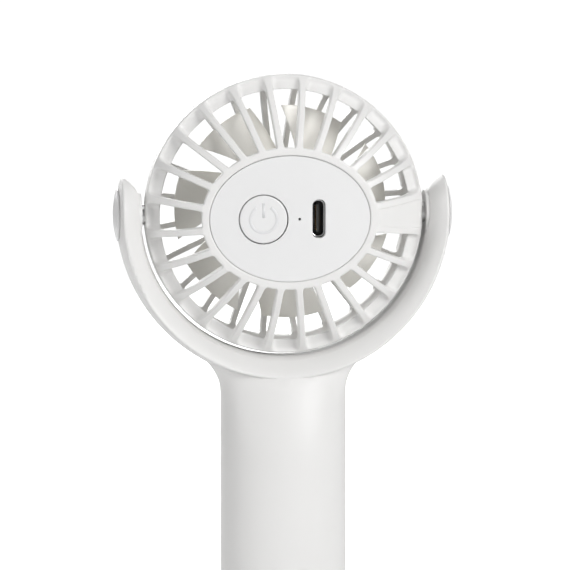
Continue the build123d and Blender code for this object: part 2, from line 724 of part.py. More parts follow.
def handle():
    straight = extrude(
        Plane.XY.offset(BASE_TOP) * Ellipse(HANDLE_HALF_WIDTH, HANDLE_HALF_DEPTH),
        amount=NECK_START - BASE_TOP,
    )
    top = neck_top()
    count = 9
    heights = [NECK_START + (top - NECK_START) * i / (count - 1) for i in range(count)]
    horn = loft([neck_level(z) for z in heights])
    return straight + horn - Pos(0, 0, PIVOT_HEIGHT) * head_space()


def body_hollows():
    inner_w = HANDLE_HALF_WIDTH - BODY_WALL
    inner_d = HANDLE_HALF_DEPTH - BODY_WALL
    tube_top = NECK_START + 4.0
    tube = extrude(Plane.XY * Ellipse(inner_w, inner_d), amount=tube_top)
    throat_height = PIVOT_HEIGHT - CHANNEL_INNER - 1.0 - tube_top
    throat = extrude(Plane.XY.offset(tube_top) * Ellipse(10.0, 6.2), amount=throat_height)
    channel_face = Pos((CHANNEL_INNER + CHANNEL_OUTER) / 2, 0) * Rectangle(
        CHANNEL_OUTER - CHANNEL_INNER, 2 * CHANNEL_HALF_DEPTH
    )
    channel = Pos(0, 0, PIVOT_HEIGHT) * revolve(channel_face, Axis.Y, 180)
    bore = rod_x(PIN_RADIUS + PIN_RUNNING_FIT, HEAD_RADIUS, RECESS_FLOOR + 1)
    bore = bore + rod_x(RECESS_RADIUS, RECESS_FLOOR, PIVOT_CAP_PEAK + 1)
    return tube + throat + channel + Pos(0, 0, PIVOT_HEIGHT) * both_sides(bore)


def cradle(z, opening):
    """Plate across the handle bore that holds the battery."""
    plate = Ellipse(HANDLE_HALF_WIDTH - BODY_WALL + 0.2, HANDLE_HALF_DEPTH - BODY_WALL + 0.2)
    return extrude(Plane.XY.offset(z) * (plate - Circle(opening)), amount=CRADLE_THICKNESS)


def body():
    whole = Pos(0, 0, PIVOT_HEIGHT) * fork() + handle() - body_hollows()
    shelf = CELL_BOTTOM - FOAM_THICKNESS - CRADLE_THICKNESS
    whole = whole + cradle(shelf, 4.0)
    for share in (0.12, 0.5, 0.88):
        whole = whole + cradle(CELL_BOTTOM + CELL_LENGTH * share, CELL_RADIUS + 0.15)
    return whole


PEG_X = 6.0
PEG_HEIGHT = PIVOT_HEIGHT - FORK_OUTER_CROWN - 5.4


def make_body_rear_shell(whole):
    half = whole & box(-60, 60, -40, 0, -5, 250)
    for x in (-PEG_X, PEG_X):
        post = Pos(0, 0, PEG_HEIGHT) * rod_y(1.9, -7.2, 0, x)
        half = half + post - Pos(0, 0, PEG_HEIGHT) * rod_y(0.95, -3, 1, x)
    return half


def make_body_front_shell(whole):
    half = whole & box(-60, 60, 0, 40, -5, 250)
    for x in (-PEG_X, PEG_X):
        half = half + Pos(0, 0, PEG_HEIGHT) * rod_y(1.9, 0, 7.2, x)
        half = half + Pos(0, 0, PEG_HEIGHT) * rod_y(0.9, -2.6, 0, x)
    return half


# ---------------------------------------------------------------- battery and base
def make_battery_cell():
    cell = Pos(0, 0, CELL_BOTTOM) * Cylinder(
        CELL_RADIUS, CELL_LENGTH, align=(Align.CENTER, Align.CENTER, Align.MIN)
    )
    cell = fillet(cell.edges().filter_by(GeomType.CIRCLE), 0.6)
    nub = Pos(0, 0, CELL_BOTTOM + CELL_LENGTH) * Cylinder(
        2.8, 1.0, align=(Align.CENTER, Align.CENTER, Align.MIN)
    )
    return cell + nub


def make_battery_foam():
    return Pos(0, 0, CELL_BOTTOM - FOAM_THICKNESS) * Cylinder(
        CELL_RADIUS - 0.4, FOAM_THICKNESS, align=(Align.CENTER, Align.CENTER, Align.MIN)
    )


def make_battery_board():
    z0 = CELL_BOTTOM + CELL_LENGTH + 1.6
    board = box(-7.5, 7.5, -4.0, 4.0, z0, z0 + 0.8)
    return board + box(-3, 1, -2, 2, z0 + 0.8, z0 + 1.8)


def make_base_cap():
    plate = extrude(
        Plane.XY.offset(PAD_PROUD) * Ellipse(HANDLE_HALF_WIDTH, HANDLE_HALF_DEPTH),
        amount=BASE_TOP - PAD_PROUD,
    )
    plate = fillet(plate.edges().group_by(Axis.Z)[0], 0.9)
    plug_w = HANDLE_HALF_WIDTH - BODY_WALL - 0.05
    plug_d = HANDLE_HALF_DEPTH - BODY_WALL - 0.05
    ring = Ellipse(plug_w, plug_d) - Ellipse(plug_w - 1.6, plug_d - 1.6)
    plate = plate + extrude(Plane.XY.offset(BASE_TOP - 0.5) * ring, amount=BASE_PLUG + 0.5)
    recess = Ellipse(HANDLE_HALF_WIDTH - 2.2, HANDLE_HALF_DEPTH - 2.2)
    return plate - extrude(Plane.XY * recess, amount=PAD_THICKNESS)


def make_base_pad():
    pad = Ellipse(HANDLE_HALF_WIDTH - 2.25, HANDLE_HALF_DEPTH - 2.25)
    return extrude(Plane.XY * pad, amount=PAD_THICKNESS)


def main():
    lift = Pos(0, 0, PIVOT_HEIGHT)
    head_parts = {
        "rear_grille": make_rear_grille(),
        "front_grille": make_front_grille(),
        "control_cap": make_control_cap(),
        "power_button": make_power_button(),
        "tact_switch": make_tact_switch(),
        "led_indicator": make_led_indicator(),
        "usb_c_shell": make_usb_c_shell(),
        "usb_c_insulator": make_usb_c_insulator(),
        "control_board": make_control_board(),
        "board_chips": make_board_chips(),
        "board_screws": make_board_screws(),
        "motor_can": make_motor_can(),
        "motor_end_bell": make_motor_end_bell(),
        "motor_bushing_rear": make_motor_bushing_rear(),
        "motor_bushing_front": make_motor_bushing_front(),
        "motor_magnets": make_motor_magnets(),
        "rotor_core": make_rotor_core(),
        "rotor_coils": make_rotor_coils(),
        "commutator": make_commutator(),
        "motor_shaft": make_motor_shaft(),
        "impeller": make_impeller(),
    }
    right = {
        "pivot_pin": make_pivot_pin(),
        "pivot_washer": make_pivot_washer(),
        "pivot_cap": make_pivot_cap(),
    }
    for name, part in right.items():
        head_parts[name + "_right"] = part
        head_parts[name + "_left"] = mirror(part, about=Plane.YZ)
    nodes = {name: lift * part for name, part in head_parts.items()}
    whole = body()
    nodes["body_rear_shell"] = make_body_rear_shell(whole)
    nodes["body_front_shell"] = make_body_front_shell(whole)
    nodes["battery_cell"] = make_battery_cell()
    nodes["battery_foam"] = make_battery_foam()
    nodes["battery_board"] = make_battery_board()
    nodes["base_cap"] = make_base_cap()
    nodes["base_pad"] = make_base_pad()
    os.makedirs("parts", exist_ok=True)
    for name, part in nodes.items():
        export_step(part, f"parts/{name}.step")


if __name__ == "__main__":
    main()
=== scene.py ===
import json
import math

import bmesh
import bpy
from mathutils import Matrix, Vector


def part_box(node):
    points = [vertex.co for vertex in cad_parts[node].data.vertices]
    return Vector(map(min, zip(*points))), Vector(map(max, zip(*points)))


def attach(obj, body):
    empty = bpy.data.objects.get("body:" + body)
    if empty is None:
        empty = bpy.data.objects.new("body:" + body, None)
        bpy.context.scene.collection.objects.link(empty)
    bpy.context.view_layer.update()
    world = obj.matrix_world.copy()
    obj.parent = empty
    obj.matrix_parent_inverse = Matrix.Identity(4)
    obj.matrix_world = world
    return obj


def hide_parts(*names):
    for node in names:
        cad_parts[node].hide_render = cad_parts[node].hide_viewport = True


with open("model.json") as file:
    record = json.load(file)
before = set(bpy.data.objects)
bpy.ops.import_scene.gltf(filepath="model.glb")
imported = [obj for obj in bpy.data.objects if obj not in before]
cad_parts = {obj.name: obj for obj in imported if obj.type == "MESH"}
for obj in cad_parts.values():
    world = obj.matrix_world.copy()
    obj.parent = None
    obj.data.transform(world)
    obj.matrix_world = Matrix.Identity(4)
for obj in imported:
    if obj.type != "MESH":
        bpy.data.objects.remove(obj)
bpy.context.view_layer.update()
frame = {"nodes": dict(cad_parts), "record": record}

bl_info = {
    "name": "Tilting Handheld Fan",
    "version": (1, 0, 0),
    "blender": (4, 5, 0),
    "location": "View3D > Sidebar > Fan",
    "description": "Finishes the handheld fan: moulded shells, grilles, blades, controls and studio",
    "category": "Object",
}

# Metres, Z up, X along the tilt axis. The control side of the head faces -Y.
NODES = frame["nodes"]
MM = 0.001
PIVOT = Vector((0.0, 0.0, (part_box("pivot_cap_right")[0].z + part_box("pivot_cap_right")[1].z) / 2))


# ---------------------------------------------------------------- settings
class FanFinishSettings(bpy.types.PropertyGroup):
    """Colours of the fan's finishes."""

    shell_colour: bpy.props.FloatVectorProperty(
        name="Shell colour",
        description="Colour of the handle, the fork and both grilles",
        subtype="COLOR", size=3, min=0.0, max=1.0, default=(0.80, 0.795, 0.785),
    )
    cap_colour: bpy.props.FloatVectorProperty(
        name="Cap colour",
        description="Colour of the control cap and its button",
        subtype="COLOR", size=3, min=0.0, max=1.0, default=(0.80, 0.80, 0.80),
    )
    # The blade colour is brighter and warmer than the shell's: painted light standing in for light
    # that passes through the blades and bounces inside the head.
    blade_painted_light_colour: bpy.props.FloatVectorProperty(
        name="Blade colour",
        description="Colour of the fan wheel",
        subtype="COLOR", size=3, min=0.0, max=1.0, default=(0.93, 0.915, 0.865),
    )
    # The raised mark is painted a grey darker than the button: painted shade standing in for the
    # shade along its embossed lines.
    symbol_shade_colour: bpy.props.FloatVectorProperty(
        name="Symbol colour",
        description="Colour of the mark on the button",
        subtype="COLOR", size=3, min=0.0, max=1.0, default=(0.73, 0.73, 0.74),
    )


class FanStageSettings(bpy.types.PropertyGroup):
    """Camera and lights around the fan."""

    view_azimuth: bpy.props.FloatProperty(
        name="View azimuth",
        description="Angle of the camera round the fan, from straight behind the head",
        subtype="ANGLE", default=math.radians(-7.1),
    )
    view_elevation: bpy.props.FloatProperty(
        name="View elevation",
        description="Angle of the camera above the level of the head",
        subtype="ANGLE", default=math.radians(7.2),
    )
    view_distance: bpy.props.FloatProperty(
        name="View distance",
        description="Distance from the camera to the fan",
        subtype="DISTANCE", unit="LENGTH", default=0.75,
    )
    view_width: bpy.props.FloatProperty(
        name="View width",
        description="Width of the scene that the camera sees at the fan",
        subtype="DISTANCE", unit="LENGTH", default=0.13845,
    )
    key_power: bpy.props.FloatProperty(
        name="Key power",
        description="Power of the large soft light on the right",
        subtype="POWER", unit="POWER", default=7.0,
    )
    fill_level: bpy.props.FloatProperty(
        name="Fill level",
        description="Brightness of the even light from all round",
        min=0.0, default=0.47,
    )


# ---------------------------------------------------------------- material tools
def new_tree(material):
    material.use_nodes = True
    tree = material.node_tree
    tree.nodes.clear()
    return tree


def add_node(tree, kind, **values):
    node = tree.nodes.new(kind)
    for name, value in values.items():
        setattr(node, name, value)
    return node


def build_moulded_group():
    """Colour drift, roughness drift and fine grain of a moulded plastic or rubber surface."""
    group = bpy.data.node_groups.new("moulded_surface", "ShaderNodeTree")
    face = group.interface
    for name, kind, value in (
        ("Colour", "NodeSocketColor", (0.8, 0.8, 0.8, 1.0)),
        ("Drift Colour", "NodeSocketColor", (0.7, 0.7, 0.7, 1.0)),
        ("Drift", "NodeSocketFloat", 0.3),
        ("Drift Scale", "NodeSocketFloat", 40.0),
        ("Roughness", "NodeSocketFloat", 0.4),
        ("Roughness Spread", "NodeSocketFloat", 0.1),
        ("Grain Scale", "NodeSocketFloat", 4000.0),
        ("Grain Strength", "NodeSocketFloat", 0.1),
        ("Grain Depth", "NodeSocketFloat", 0.00002),
    ):
        socket = face.new_socket(name, in_out="INPUT", socket_type=kind)
        socket.default_value = value
    face.new_socket("Colour", in_out="OUTPUT", socket_type="NodeSocketColor")
    face.new_socket("Roughness", in_out="OUTPUT", socket_type="NodeSocketFloat")
    face.new_socket("Normal", in_out="OUTPUT", socket_type="NodeSocketVector")
    link = group.links.new
    given = add_node(group, "NodeGroupInput")
    result = add_node(group, "NodeGroupOutput")
    place = add_node(group, "ShaderNodeTexCoord")
    drift = add_node(group, "ShaderNodeTexNoise")
    drift.inputs["Detail"].default_value = 4.0
    drift.inputs["Roughness"].default_value = 0.6
    link(place.outputs["Object"], drift.inputs["Vector"])
    link(given.outputs["Drift Scale"], drift.inputs["Scale"])
    amount = add_node(group, "ShaderNodeMath", operation="MULTIPLY")
    link(drift.outputs["Fac"], amount.inputs[0])
    link(given.outputs["Drift"], amount.inputs[1])
    mix = add_node(group, "ShaderNodeMix", data_type="RGBA")
    link(amount.outputs[0], mix.inputs["Factor"])
    link(given.outputs["Colour"], mix.inputs["A"])
    link(given.outputs["Drift Colour"], mix.inputs["B"])
    link(mix.outputs["Result"], result.inputs["Colour"])
    smudge = add_node(group, "ShaderNodeTexNoise")
    smudge.inputs["Scale"].default_value = 90.0
    smudge.inputs["Detail"].default_value = 5.0
    link(place.outputs["Object"], smudge.inputs["Vector"])
    centre = add_node(group, "ShaderNodeMath", operation="SUBTRACT")
    link(smudge.outputs["Fac"], centre.inputs[0])
    centre.inputs[1].default_value = 0.5
    spread = add_node(group, "ShaderNodeMath", operation="MULTIPLY_ADD")
    link(centre.outputs[0], spread.inputs[0])
    link(given.outputs["Roughness Spread"], spread.inputs[1])
    link(given.outputs["Roughness"], spread.inputs[2])
    link(spread.outputs[0], result.inputs["Roughness"])
    grain = add_node(group, "ShaderNodeTexNoise")
    grain.inputs["Detail"].default_value = 2.0
    link(place.outputs["Object"], grain.inputs["Vector"])
    link(given.outputs["Grain Scale"], grain.inputs["Scale"])
    bump = add_node(group, "ShaderNodeBump")
    link(given.outputs["Grain Strength"], bump.inputs["Strength"])
    link(given.outputs["Grain Depth"], bump.inputs["Distance"])
    link(grain.outputs["Fac"], bump.inputs["Height"])
    link(bump.outputs["Normal"], result.inputs["Normal"])
    return group


def moulded(name, colour, drift_colour=None, **values):
    """Plastic, rubber, foam or plain metal whose surface comes from the moulded_surface group."""
    material = bpy.data.materials.get(name)
    if material:
        return material
    material = bpy.data.materials.new(name)
    tree = new_tree(material)
    group = bpy.data.node_groups.get("moulded_surface") or build_moulded_group()
    surface = add_node(tree, "ShaderNodeGroup", node_tree=group)
    drift_colour = drift_colour or tuple(c * 0.9 for c in colour)
    surface.inputs["Colour"].default_value = (*colour, 1.0)
    surface.inputs["Drift Colour"].default_value = (*drift_colour, 1.0)
    shader = add_node(tree, "ShaderNodeBsdfPrincipled")
    for key, value in values.items():
        title = key.replace("_", " ").title()
        if title in surface.inputs:
            surface.inputs[title].default_value = value
        else:
            shader.inputs[title.replace("Ior", "IOR")].default_value = value
    output = add_node(tree, "ShaderNodeOutputMaterial")
    tree.links.new(surface.outputs["Colour"], shader.inputs["Base Color"])
    tree.links.new(surface.outputs["Roughness"], shader.inputs["Roughness"])
    tree.links.new(surface.outputs["Normal"], shader.inputs["Normal"])
    tree.links.new(shader.outputs["BSDF"], output.inputs["Surface"])
    return material


def shell_material():
    return moulded(
        "shell_plastic", tuple(bpy.context.scene.fan_finish.shell_colour),
        drift=0.25, drift_scale=35.0, roughness=0.42, roughness_spread=0.10,
        grain_scale=2600.0, grain_strength=0.35, grain_depth=0.00002,
    )


def cap_material():
    return moulded(
        "cap_plastic", tuple(bpy.context.scene.fan_finish.cap_colour),
        drift=0.2, drift_scale=30.0, roughness=0.32, roughness_spread=0.04,
        grain_scale=1800.0, grain_strength=0.12, grain_depth=0.00002,
    )


def blade_material():
    # The fan wheel's colour carries painted light: brighter and warmer than the shell, standing in
    # for light passing through the blades and bouncing inside the head.
    return moulded(
        "blade_plastic_painted_light", tuple(bpy.context.scene.fan_finish.blade_painted_light_colour),
        drift=0.3, drift_scale=60.0, roughness=0.36, roughness_spread=0.12,
        grain_scale=2200.0, grain_strength=0.25, grain_depth=0.00002,
    )


FINISHES = {
    "steel": ("polished_steel", (0.62, 0.62, 0.62), dict(metallic=1.0, roughness=0.25)),
    "bronze": ("sintered_bronze", (0.50, 0.33, 0.18), dict(metallic=1.0, roughness=0.5)),
    "ferrite": ("ferrite_magnet", (0.06, 0.06, 0.065), dict(roughness=0.7)),
    "copper": ("enamelled_copper", (0.62, 0.26, 0.10), dict(metallic=1.0, roughness=0.3)),
    "board_green": ("circuit_board", (0.02, 0.16, 0.07), dict(roughness=0.35)),
    "black_plastic": ("black_plastic", (0.018, 0.018, 0.02), dict(roughness=0.4)),
    "led_clear": ("led_lens", (0.85, 0.86, 0.80), dict(roughness=0.15)),
    "cell_wrap": ("cell_wrap", (0.05, 0.18, 0.42), dict(roughness=0.3)),
    "foam": ("foam", (0.10, 0.10, 0.11), dict(roughness=0.95, grain_scale=900.0)),
    "pad_rubber": ("pad_rubber", (0.33, 0.33, 0.34), dict(roughness=0.8, grain_scale=1500.0)),
}


def finish_for(slot_name):
    if slot_name == "white_shell":
        return shell_material()
    if slot_name == "cap_white":
        return cap_material()
    if slot_name == "blade_white":
        return blade_material()
    name, colour, values = FINISHES[slot_name]
    return moulded(name, colour, **values)


def paint(obj, material):
    obj.data.materials.clear()
    obj.data.materials.append(material)


# ---------------------------------------------------------------- piece tools
WELD_DISTANCE = 0.000002


def soften(obj, width, angle=35.0, segments=2):
    """Rounds the sharp edges of a CAD node without touching its mesh."""
    weld = obj.modifiers.new("weld", "WELD")
    weld.merge_threshold = WELD_DISTANCE
    bevel = obj.modifiers.new("edge_round", "BEVEL")
    bevel.width = width
    bevel.segments = segments
    bevel.limit_method = "ANGLE"
    bevel.angle_limit = math.radians(angle)
    bevel.use_clamp_overlap = True


# ---------------------------------------------------------------- grille cage
RIB_COUNT = 24
RIB_PITCH = 360.0 / RIB_COUNT
FIRST_RIB = RIB_PITCH / 2
RIB_HALF_WIDTH = 0.72
RIB_DRAFT = 0.20
HEAD_RADIUS = 33.9
WINDOW_END = 30.35
LIP_RADIUS = 33.6
RIM_DEPTH = 3.0
PANEL_RECESS = 0.45
CAP_OVAL = (19.35, 15.15)
COLLAR_OVAL = (21.3, 17.1)
COLLAR_TOP = -14.35
# depth and the two half widths of the dome's ovals, from the rim to the collar
DOME_LEVELS = ((-3.6, 33.5, 33.5), (-8.8, 29.4, 27.7), (-14.2, 21.3, 17.1))


def polar(reach, degrees, sideways=0.0):
    """Point of the head's face on a line at an angle, with a sideways step off that line."""
    turn = math.radians(degrees)
    return (
        reach * math.cos(turn) - sideways * math.sin(turn),
        reach * math.sin(turn) + sideways * math.cos(turn),
    )


def oval_reach(oval, degrees, sideways=0.0):
    """How far along that line it meets an oval."""
    a, b = oval
    turn = math.radians(degrees)
    c, s = math.cos(turn), math.sin(turn)
    square = (c / a) ** 2 + (s / b) ** 2
    cross = 2 * sideways * c * s * (1 / b**2 - 1 / a**2)
    rest = sideways**2 * ((s / a) ** 2 + (c / b) ** 2) - 1
    return (-cross + math.sqrt(cross**2 - 4 * square * rest)) / (2 * square)


def dome_depth(x, z):
    """Depth of the rear dome at a point of the face, through its three ovals."""
    degrees = math.degrees(math.atan2(z, x))
    reach = math.hypot(x, z)
    marks = [(oval_reach((a, b), degrees), y) for y, a, b in DOME_LEVELS]
    total = 0.0
    for i, (here, depth) in enumerate(marks):
        share = depth
        for j, (there, _) in enumerate(marks):
            if j != i:
                share *= (reach - there) / (here - there)
        total += share
    return total


def mesh_piece(name, bm, body, material, replaced=()):
    """Turns a finished bmesh drawn in mm about the head centre into a riding piece in metres."""
    bmesh.ops.scale(bm, vec=(MM, MM, MM), verts=bm.verts)
    bmesh.ops.translate(bm, vec=PIVOT, verts=bm.verts)
    for face in bm.faces:
        face.smooth = True
    mesh = bpy.data.meshes.new(name)
    bm.to_mesh(mesh)
    bm.free()
    obj = bpy.data.objects.new(name, mesh)
    bpy.context.scene.collection.objects.link(obj)
    paint(obj, material)
    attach(obj, body)
    if replaced:
        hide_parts(*replaced)
    return obj


def subdivide(obj, levels=2):
    smooth = obj.modifiers.new("smooth", "SUBSURF")
    smooth.levels = levels
    smooth.render_levels = levels


def cage_columns(rib_half, draft):
    """Columns of the grille cage: rib crest, rib edges, rib feet and the space between ribs."""
    columns = []
    for rib in range(RIB_COUNT):
        angle = FIRST_RIB + RIB_PITCH * rib
        columns += [
            (angle, 0.0, "crest"),
            (angle, rib_half, "edge"),
            (angle, rib_half + draft, "foot"),
            (angle + RIB_PITCH * 0.36, 0.0, "space"),
            (angle + RIB_PITCH * 0.64, 0.0, "space"),
            (angle + RIB_PITCH, -rib_half - draft, "foot"),
            (angle + RIB_PITCH, -rib_half, "edge"),
        ]
    return columns


COLUMNS_PER_RIB = 7
PANEL_RIB = RIB_COUNT - 1


def new_cage(columns, row_count):
    """Polar sheet whose vertices know their column and row, grown ring by ring."""
    bm = bmesh.new()
    column_of = bm.verts.layers.int.new("column")
    row_of = bm.verts.layers.int.new("row")
    ring = bmesh.ops.create_circle(bm, segments=len(columns), radius=1.0)["verts"]
    for vert in ring:
        share = math.atan2(vert.co.x, vert.co.y) / math.tau
        vert[column_of] = round(share * len(columns)) % len(columns)
    edges = list(bm.edges)
    for row in range(1, row_count):
        grown = bmesh.ops.extrude_edge_only(bm, edges=edges)["geom"]
        edges = [g for g in grown if isinstance(g, bmesh.types.BMEdge)]
        for vert in grown:
            if isinstance(vert, bmesh.types.BMVert):
                vert[row_of] = row
        edges = [e for e in edges if all(v[row_of] == row for v in e.verts)]
    return bm


def is_window(face, bm, first_row, last_row, panel):
    column_of = bm.verts.layers.int["column"]
    row_of = bm.verts.layers.int["row"]
    spots = {v[column_of] % COLUMNS_PER_RIB for v in face.verts}
    rib = min(v[column_of] for v in face.verts) // COLUMNS_PER_RIB
    rows = [v[row_of] for v in face.verts]
    inside = spots <= {2, 3, 4, 5} and min(rows) >= first_row and max(rows) <= last_row
    return inside and not (panel and rib == PANEL_RIB)


REAR_ROWS = 12
REAR_WINDOW = (1, 6)
# how much further the rib's edge and foot stand from its centre, row by row towards the rim
FLARE = {
    "crest": {},
    "edge": {7: 0.04, 8: 0.15, 9: 0.45},
    "foot": {1: 0.1, 6: 0.12, 7: 0.32, 8: 0.65, 9: 1.05},
    "space": {},
}
# depth of the coved floor of the pockets, row by row towards the rim
COVE_FLOOR = {6: -4.35, 7: -3.45, 8: -3.1, 9: -3.42}
# how far out each row from the window's end to the foot of the rim stands
RING_REACH = {6: WINDOW_END, 7: 31.75, 8: 32.75, 9: LIP_RADIUS, 10: HEAD_RADIUS, 11: HEAD_RADIUS}
# share of a window's length at which each row up to its end stands
WINDOW_SHARE = (0.0, 0.0, 0.05, 0.34, 0.66, 0.93)
# step inwards and depth of the inner face, row by row towards the rim
RIM_INSIDE = {
    6: (0.0, -3.5), 7: (-0.3, -2.9), 8: (-0.7, -2.3), 9: (-1.2, -1.9),
    10: (-1.7, -1.0), 11: (-1.7, -0.03),
}
RIB_HEIGHT = 3.9
CAP_SEAT = -12.9
COLLAR_UNDERSIDE = -10.6
PARTING_GAP = 0.03


def rear_point(row, column, under):
    """Place of a cage vertex of the rear grille."""
    angle, sideways, kind = column
    sideways += math.copysign(FLARE[kind].get(row, 0.0), sideways)
    inner = oval_reach(COLLAR_OVAL, angle, sideways)
    side = sideways * (0.82 if under else 1.0)
    if row == 0:
        x, z = polar(oval_reach(CAP_OVAL, angle, sideways), angle, sideways)
        return x, (CAP_SEAT if under else COLLAR_TOP), z
    if row == 1:
        x, z = polar(inner, angle, side)
        return (x * 0.985, COLLAR_UNDERSIDE, z * 0.985) if under else (x, COLLAR_TOP + 0.03, z)
    if row < 6:
        outer = math.sqrt(WINDOW_END**2 - sideways**2)
        reach = inner + (outer - inner) * WINDOW_SHARE[row]
    else:
        reach = math.sqrt(RING_REACH[row] ** 2 - sideways**2)
    x, z = polar(reach, angle, side)
    crest = dome_depth(x, z)
    if under:
        if row >= 6:
            back, depth = RIM_INSIDE[row]
            x, z = polar(reach + back, angle, side)
            return x, depth, z
        return x, min(crest + RIB_HEIGHT, -RIB_HEIGHT), z
    if row == 10:
        return x, -RIM_DEPTH, z
    if row == 11:
        return x, -PARTING_GAP, z
    floor = COVE_FLOOR.get(row)
    if row == 9 and kind in ("crest", "edge"):
        return x, crest * 0.6 + floor * 0.4, z
    if kind in ("crest", "edge"):
        return x, crest - (0.05 if kind == "crest" else 0.0), z
    if kind == "foot":
        return x, (crest + RIB_HEIGHT * 0.45 if floor is None else floor), z
    return x, (crest if floor is None else floor), z


def panel_point(row, column):
    """The wiring panel fills one space, a little below the ribs beside it."""
    angle, sideways, kind = column
    x, y, z = rear_point(row, (angle, sideways, "crest"), False)
    if row in (0, 9, 10, 11):
        return x, y, z
    return x, y + (PANEL_RECESS if row > 1 else 0.0), z


def place_cage(bm, point, under_verts):
    column_of = bm.verts.layers.int["column"]
    row_of = bm.verts.layers.int["row"]
    for vert in bm.verts:
        vert.co = point(vert[row_of], vert[column_of], vert in under_verts)


def crease_cage(bm, rules):
    """Sets how crisp an edge stays, from the rows and columns that it joins."""
    column_of = bm.verts.layers.int["column"]
    row_of = bm.verts.layers.int["row"]
    crease = bm.edges.layers.float.new("crease_edge")
    for edge in bm.edges:
        rows = sorted(v[row_of] for v in edge.verts)
        spots = sorted(v[column_of] % COLUMNS_PER_RIB for v in edge.verts)
        edge[crease] = rules(rows, spots)


def rear_creases(rows, spots):
    along = rows[0] != rows[1]
    if along:
        if spots[0] == spots[1] and spots[0] in (1, 6):
            return 0.6 if rows[1] <= 8 else 0.25
        if spots[0] == spots[1] and spots[0] in (2, 5) and rows[1] <= 6:
            return 0.35
        return 0.0
    if rows[0] == 0:
        return 0.75
    if rows[0] == 1:
        return 0.5
    if rows[0] == 6 and spots[0] in (2, 3, 4, 5) and spots[1] in (2, 3, 4, 5):
        return 0.5
    if rows[0] == 9:
        return 0.45
    if rows[0] == 10:
        return 0.45
    if rows[0] == 11:
        return 0.8
    return 0.0


def build_rear_ribs():
    columns = cage_columns(RIB_HALF_WIDTH, RIB_DRAFT)
    bm = new_cage(columns, REAR_ROWS)
    gone = [f for f in bm.faces if is_window(f, bm, *REAR_WINDOW, True)]
    bmesh.ops.delete(bm, geom=gone, context="FACES")
    grown = bmesh.ops.extrude_face_region(bm, geom=list(bm.faces))["geom"]
    under = {g for g in grown if isinstance(g, bmesh.types.BMVert)}

    def point(row, column, below):
        rib, spot = divmod(column, COLUMNS_PER_RIB)
        if rib == PANEL_RIB and spot in (2, 3, 4, 5):
            if below:
                x, y, z = rear_point(row, (columns[column][0], columns[column][1], "crest"), True)
                return x, y - (1.2 if 1 < row < 6 else 0.0), z
            return panel_point(row, columns[column])
        return rear_point(row, columns[column], below)

    place_cage(bm, point, under)
    crease_cage(bm, rear_creases)
    bmesh.ops.recalc_face_normals(bm, faces=bm.faces)
    grille = mesh_piece(
        "rear_grille_moulding", bm, "head", shell_material(), ["rear_grille"]
    )
    subdivide(grille)


# ---------------------------------------------------------------- control pod
# half width, half height and depth of each ring, down the outside and up the inside
POD_RINGS = (
    (20.75, 16.55, -12.85), (18.6, 15.2, -9.0), (15.4, 13.4, -4.8),
    (11.6, 11.6, -4.8), (11.6, 11.6, -1.2), (10.25, 10.25, -1.2), (10.25, 10.25, -4.8),
    (7.4, 7.4, -4.8), (7.4, 7.4, -6.0), (14.0, 12.0, -6.0), (16.3, 13.2, -9.4),
    (18.05, 13.85, -12.9),
)


def build_pod():
    """Bowl behind the control cap, with the socket that holds the motor."""
    bm = bmesh.new()
    turn_of = bm.verts.layers.float.new("turn")
    ring = bmesh.ops.create_circle(bm, segments=72, radius=1.0)["verts"]
    first = list(bm.edges)
    for vert in ring:
        vert[turn_of] = math.atan2(vert.co.y, vert.co.x)
    edges = first
    place_ring(bm, ring, turn_of, POD_RINGS[0])
    for level in POD_RINGS[1:]:
        grown = bmesh.ops.extrude_edge_only(bm, edges=edges)["geom"]
        verts = [g for g in grown if isinstance(g, bmesh.types.BMVert)]
        place_ring(bm, verts, turn_of, level)
        fresh = set(verts)
        edges = [g for g in grown if isinstance(g, bmesh.types.BMEdge) and set(g.verts) <= fresh]
    bmesh.ops.bridge_loops(bm, edges=first + edges)
    bmesh.ops.recalc_face_normals(bm, faces=bm.faces)
    pod = mesh_piece("control_pod", bm, "head", shell_material())
    round_edges(pod, 0.2)


def place_ring(bm, verts, turn_of, level):
    half_width, half_height, depth = level
    for vert in verts:
        turn = vert[turn_of]
        vert.co = (half_width * math.cos(turn), depth, half_height * math.sin(turn))


def round_edges(obj, width_mm, degrees=35.0, segments=2):
    bevel = obj.modifiers.new("edge_round", "BEVEL")
    bevel.width = width_mm * MM
    bevel.segments = segments
    bevel.limit_method = "ANGLE"
    bevel.angle_limit = math.radians(degrees)


class FAN_OT_rear_grille(bpy.types.Operator):
    """Model the rear grille: ribs, coved pockets, wiring panel, collar and pod"""

    bl_idname = "fan.rear_grille"
    bl_label = "Model the rear grille"

    def execute(self, context):
        build_rear_ribs()
        build_pod()
        return {"FINISHED"}


# ---------------------------------------------------------------- controls
CAP_HALF_WIDTH = 19.25
CAP_HALF_HEIGHT = 15.05
CAP_TOP = -14.8
CAP_SAG = 0.5
CAP_UNDERSIDE = -12.95
BUTTON_X = -6.45
BUTTON_RADIUS = 5.72
BUTTON_HOLE = 5.98
LED_X = 2.2
LED_HOLE = 0.34
USB_X = 6.85
USB_SLOT = (3.25, 9.25)
USB_CORNER = 1.4
SYMBOL_RADIUS = 3.2
SYMBOL_HALF_WIDTH = 0.33
SYMBOL_RISE = 0.13
SYMBOL_HALF_GAP_DEG = 32
SYMBOL_BAR_LENGTH = 3.5
SYMBOL_BAR_CENTRE = 2.15


def crown(x, z):
    """Depth of the cap's crowned face."""
    return CAP_TOP + CAP_SAG * ((x / CAP_HALF_WIDTH) ** 2 + (z / CAP_HALF_HEIGHT) ** 2)


def loose_object(name, bm):
    mesh = bpy.data.meshes.new(name)
    bm.to_mesh(mesh)
    bm.free()
    obj = bpy.data.objects.new(name, mesh)
    bpy.context.scene.collection.objects.link(obj)
    return obj


def drop(obj):
    mesh = obj.data
    bpy.data.objects.remove(obj)
    bpy.data.meshes.remove(mesh)


